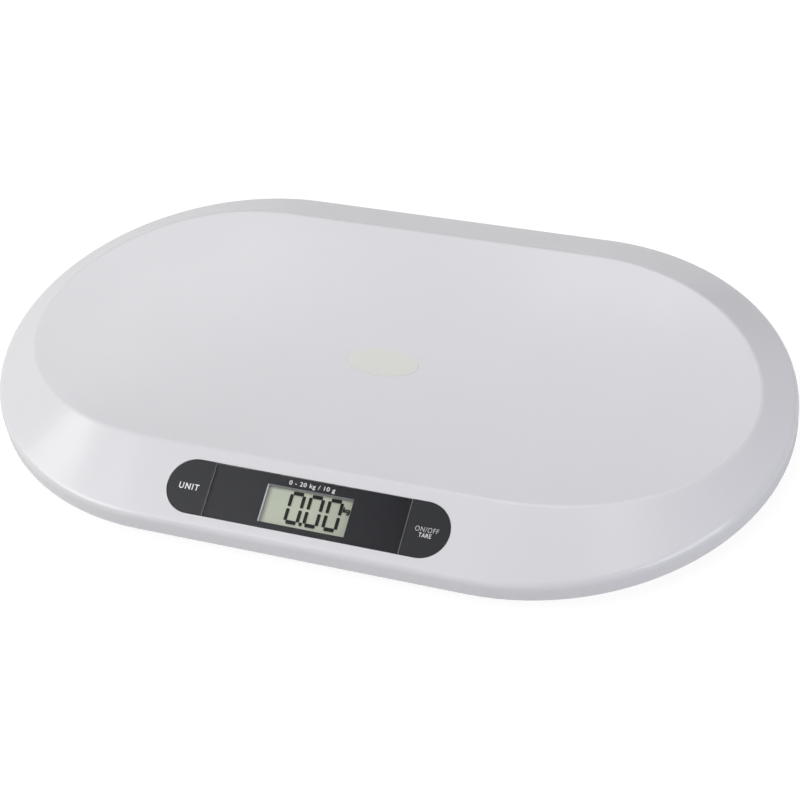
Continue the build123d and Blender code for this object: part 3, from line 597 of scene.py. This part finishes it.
def turned_screw(work, place, shank, length, head, head_height, pitch):
    """Self-tapping screw that points up from its head's seat, with a rolled thread and a cross recess."""
    def ring(points, z):
        return [work.verts.new(place @ Vector((x * MM, y * MM, z * MM))) for x, y in points]

    def circle(radius, sides):
        angles = [2 * pi * at / sides for at in range(sides)]
        return [(radius * cos(angle), radius * sin(angle)) for angle in angles]

    def join(low, high):
        for at in range(len(low)):
            work.faces.new((low[at - 1], low[at], high[at], high[at - 1]))

    rows = int(length / pitch * THREAD_STEPS)
    thread = []
    for row in range(rows + 1):
        z = length * row / rows
        tip = min(1.0, TIP_WIDTH + (length - z) / pitch / 2)
        points = []
        for at in range(THREAD_SIDES):
            wave = abs(2 * ((z / pitch - at / THREAD_SIDES) % 1.0) - 1)
            radius = shank / 2 * tip * (1 - THREAD_DEPTH * wave)
            angle = 2 * pi * at / THREAD_SIDES
            points.append((radius * cos(angle), radius * sin(angle)))
        thread.append(ring(points, z))
        if row:
            join(thread[-2], thread[-1])
    work.faces.new(thread[-1])
    work.faces.new(thread[0])

    seat = ring(circle(head / 2, HEAD_SIDES), 0)
    shoulder = ring(circle(head / 2, HEAD_SIDES), -EDGE_HEIGHT * head_height)
    round_over = ring(circle(ROUNDING_RADIUS * head, HEAD_SIDES), -ROUNDING_HEIGHT * head_height)
    face = ring(circle(FACE_RADIUS * head, HEAD_SIDES), -head_height)
    join(shoulder, seat)
    join(round_over, shoulder)
    join(face, round_over)
    opening = ring(cross_outline(OPENING_REACH * head, OPENING_ARM * head), -head_height)
    bottom = ring(cross_outline(BOTTOM_REACH * head, BOTTOM_ARM * head), -BOTTOM_HEIGHT * head_height)
    join(bottom, opening)
    work.faces.new(bottom)
    rims = []
    for loop in (face, opening):
        rims += [work.edges.get((loop[at - 1], loop[at])) or work.edges.new((loop[at - 1], loop[at]))
                 for at in range(len(loop))]
    bmesh.ops.triangle_fill(work, edges=rims, use_beauty=True)
    work.faces.new(seat)


def screw_set(node, places, shank, length, head, head_height, pitch):
    """All the screws of one kind, in place of the plain ones of a node."""
    mesh = bpy.data.meshes.new(node)
    work = bmesh.new()
    for place in places:
        turned_screw(work, place, shank, length, head, head_height, pitch)
    bmesh.ops.recalc_face_normals(work, faces=work.faces)
    work.to_mesh(mesh)
    work.free()
    piece = place_piece(node + "_threaded", mesh, finishes["zinc_steel"], "housing")
    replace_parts(piece, node)


def at_point(x, y, z):
    """Place of a screw whose head's seat is at a point in mm."""
    return Matrix.Translation(Vector((x, y, z)) * MM)


# Ten screws point up through the base into the cover's bosses.
HALF_LENGTH, HALF_WIDTH = 275, 164
CORNER_SCREW_END, CORNER_SCREW_SIDE = 150, 36
END_SCREW_END = 45
FRONT_SCREW_SIDE, BACK_SCREW_SIDE = 94, 64
MIDDLE_SCREW_X = 60
HEAD_SEAT_Z = 13.5
housing_places = [(side * (HALF_LENGTH - CORNER_SCREW_END), up * (HALF_WIDTH - CORNER_SCREW_SIDE))
                  for side in (-1, 1) for up in (-1, 1)]
housing_places += [(side * (HALF_LENGTH - END_SCREW_END), 0) for side in (-1, 1)]
housing_places += [(side * MIDDLE_SCREW_X, y) for side in (-1, 1)
                   for y in (FRONT_SCREW_SIDE - HALF_WIDTH, HALF_WIDTH - BACK_SCREW_SIDE)]
screw_set("housing_screws", [at_point(x, y, HEAD_SEAT_Z) for x, y in housing_places],
          shank=3.0, length=11.5, head=6.0, head_height=2.4, pitch=1.3)

# Two screws, heads up, hold each load cell's tray.
FOOT_X, FOOT_Y = 170, 92
TRAY_SCREW_OFFSET = 25.6
TRAY_TOP_Z = 18.2
HEAD_UP = Matrix.Rotation(pi, 4, "X")
tray_places = [at_point(side * FOOT_X + step * TRAY_SCREW_OFFSET, up * FOOT_Y, TRAY_TOP_Z) @ HEAD_UP
               for side in (-1, 1) for up in (-1, 1) for step in (-1, 1)]
screw_set("tray_screws", tray_places, shank=2.0, length=8.2, head=4.0, head_height=1.2, pitch=0.9)

# Four screws hold the circuit board from its back.
BOARD_SCREW_X, BOARD_SCREW_Y = 50, 12
BOARD_BACK = 11.0
board_places = [PANEL @ at_point(side * BOARD_SCREW_X, up * BOARD_SCREW_Y, -BOARD_BACK)
                for side in (-1, 1) for up in (-1, 1)]
screw_set("board_screws", board_places, shank=2.0, length=5.2, head=4.0, head_height=1.4, pitch=0.9)


# ---------------------------------------------------------------- studio
# The lamps' places and sizes are in metres, and their power is in watts.
LAMPS_AIM = Vector((0, 0, 0.03))
WHITE = linear("#FFFFFF")
COOL_WHITE = linear("#F6F6FF")


def softbox(name, place, power, width, height, colour=WHITE):
    """Rectangular lamp that faces the scale."""
    light = bpy.data.lights.new(name, "AREA")
    light.shape = "RECTANGLE"
    light.size = width
    light.size_y = height
    light.energy = power
    light.color = colour[:3]
    lamp = bpy.data.objects.new(name, light)
    bpy.context.scene.collection.objects.link(lamp)
    lamp.location = place
    lamp.rotation_euler = (LAMPS_AIM - Vector(place)).to_track_quat("-Z", "Y").to_euler()


softbox("key_softbox", place=(-1.5, -1.3, 1.9), power=12.4, width=1.6, height=1.6)
softbox("left_softbox", place=(-2.0, -0.8, 1.4), power=19.2, width=1.8, height=1.2)
softbox("top_softbox", place=(0.2, 0.6, 2.4), power=16.0, width=2.2, height=1.6)
softbox("right_softbox", place=(2.0, -0.6, 1.0), power=21.8, width=1.5, height=1.4, colour=COOL_WHITE)
softbox("back_left_softbox", place=(-1.8, 1.4, 1.8), power=5.5, width=1.4, height=1.4)
softbox("back_softbox", place=(-0.8, 1.9, 1.8), power=3.5, width=1.4, height=1.4)

# The share of the white surroundings that reflections show.
MIRRORED_SHARE = 0.3
ROOM_LEVEL = 0.03
# The wall to the left lightens from its start, and is fully bright where a direction points at it this much.
TO_LEFT_WALL = (-0.87, -0.5, 0.0)
LEFT_WALL_START, LEFT_WALL_FULL = 0.3, 0.44
LEFT_WALL_LEVEL = 0.48
# The white sweep fades into the dim room between these upward shares of a direction.
SWEEP_LOW, SWEEP_HIGH = 0.3, 0.5


def studio_world():
    """Dim room with a bright reflecting wall to the left that fades in smoothly.

    The camera sees plain white instead, and glass and reflections a white sweep all round.
    """
    world = bpy.data.worlds.new("studio_world")
    bpy.context.scene.world = world
    world.use_nodes = True
    tree = world.node_tree
    tree.nodes.clear()
    path = add(tree, "ShaderNodeLightPath")
    direction = add(tree, "ShaderNodeTexCoord").outputs["Generated"]
    axes = add(tree, "ShaderNodeSeparateXYZ", {"Vector": direction})
    leftward = add(tree, "ShaderNodeVectorMath", {0: direction, 1: TO_LEFT_WALL}, operation="DOT_PRODUCT")
    level = add(tree, "ShaderNodeMapRange", {
        "Value": leftward.outputs["Value"], "From Min": LEFT_WALL_START, "From Max": LEFT_WALL_FULL,
        "To Min": ROOM_LEVEL, "To Max": ROOM_LEVEL + LEFT_WALL_LEVEL,
    }, interpolation_type="SMOOTHSTEP")
    room = add(tree, "ShaderNodeBackground", {"Color": WHITE, "Strength": level.outputs["Result"]})
    sweep = add(tree, "ShaderNodeMapRange", {
        "Value": axes.outputs["Z"], "From Min": SWEEP_LOW, "From Max": SWEEP_HIGH,
        "To Min": 1.0, "To Max": 0.0,
    }, interpolation_type="SMOOTHSTEP")
    mirrored = add(tree, "ShaderNodeMath", {
        0: path.outputs["Is Glossy Ray"], 1: MIRRORED_SHARE,
    }, operation="MULTIPLY")
    second = add(tree, "ShaderNodeMath", {
        0: path.outputs["Is Transmission Ray"], 1: mirrored.outputs["Value"],
    }, operation="MAXIMUM")
    on_sweep = add(tree, "ShaderNodeMath", {
        0: second.outputs["Value"], 1: sweep.outputs["Result"],
    }, operation="MULTIPLY")
    backdrop = add(tree, "ShaderNodeMath", {
        0: path.outputs["Is Camera Ray"], 1: on_sweep.outputs["Value"],
    }, operation="MAXIMUM")
    white = add(tree, "ShaderNodeBackground", {"Color": WHITE, "Strength": 1.0})
    mix = add(tree, "ShaderNodeMixShader", {
        "Fac": backdrop.outputs["Value"], 1: room.outputs["Background"], 2: white.outputs["Background"],
    })
    add(tree, "ShaderNodeOutputWorld", {"Surface": mix.outputs["Shader"]})


FLOOR_REACH = 1.4
FLOOR_GLOW = 0.9


def studio_floor():
    """White paper floor: it shows as white to the camera, glass and reflections, with a faint shadow."""
    material = bare_material("white_paper_floor")
    tree = material.node_tree
    path = add(tree, "ShaderNodeLightPath")
    plain = add(tree, "ShaderNodeMath", {
        0: path.outputs["Is Camera Ray"], 1: path.outputs["Is Transmission Ray"],
    }, operation="MAXIMUM")
    mirrored = add(tree, "ShaderNodeMath", {
        0: path.outputs["Is Glossy Ray"], 1: MIRRORED_SHARE,
    }, operation="MULTIPLY")
    seen = add(tree, "ShaderNodeMath", {
        0: plain.outputs["Value"], 1: mirrored.outputs["Value"],
    }, operation="MAXIMUM")
    # The paper lights the scale from below. Where it is seen, a darker grey under a glow keeps the shadow.
    paper = add(tree, "ShaderNodeBsdfDiffuse", {"Color": linear("#D8D8D8")})
    faint = add(tree, "ShaderNodeBsdfDiffuse", {"Color": linear("#787878")})
    glow = add(tree, "ShaderNodeEmission", {"Color": WHITE, "Strength": FLOOR_GLOW})
    both = add(tree, "ShaderNodeAddShader", {0: faint.outputs["BSDF"], 1: glow.outputs["Emission"]})
    mix = add(tree, "ShaderNodeMixShader", {
        "Fac": seen.outputs["Value"], 1: paper.outputs["BSDF"], 2: both.outputs["Shader"],
    })
    add(tree, "ShaderNodeOutputMaterial", {"Surface": mix.outputs["Shader"]})
    mesh = bpy.data.meshes.new("studio_floor")
    outline = corners(-FLOOR_REACH, FLOOR_REACH, -FLOOR_REACH, FLOOR_REACH)
    mesh.from_pydata([(x, y, 0) for x, y in outline], [], [(0, 1, 2, 3)])
    mesh.materials.append(material)
    floor = bpy.data.objects.new("studio_floor", mesh)
    bpy.context.scene.collection.objects.link(floor)


CAMERA_PLACE = Vector((428.46, -867.49, 902.36)) * MM
# The camera's turn to the left, its tilt down and its roll, in radians.
CAMERA_TURN = 0.4513239879
CAMERA_DOWN = 0.7546557095
CAMERA_ROLL = 0.1538274146
# Its focal length is in pixels of a frame of 800 by 800, and its sensor's width is in millimetres.
FOCAL_PIXELS = 1948.272060
FRAME_PIXELS = 800
SENSOR_WIDTH = 36.0


def studio_camera():
    """Camera that looks down at the scale from the front and right."""
    view = bpy.data.cameras.new("camera")
    view.sensor_width = SENSOR_WIDTH
    view.lens = FOCAL_PIXELS / FRAME_PIXELS * SENSOR_WIDTH
    camera = bpy.data.objects.new("camera", view)
    bpy.context.scene.collection.objects.link(camera)
    turn = Matrix.Rotation(CAMERA_TURN, 4, "Z") @ Matrix.Rotation(pi / 2 - CAMERA_DOWN, 4, "X")
    camera.matrix_world = Matrix.Translation(CAMERA_PLACE) @ turn @ Matrix.Rotation(-CAMERA_ROLL, 4, "Z")
    bpy.context.scene.camera = camera


studio_world()
studio_floor()
studio_camera()
bpy.context.scene.view_settings.view_transform = "Standard"
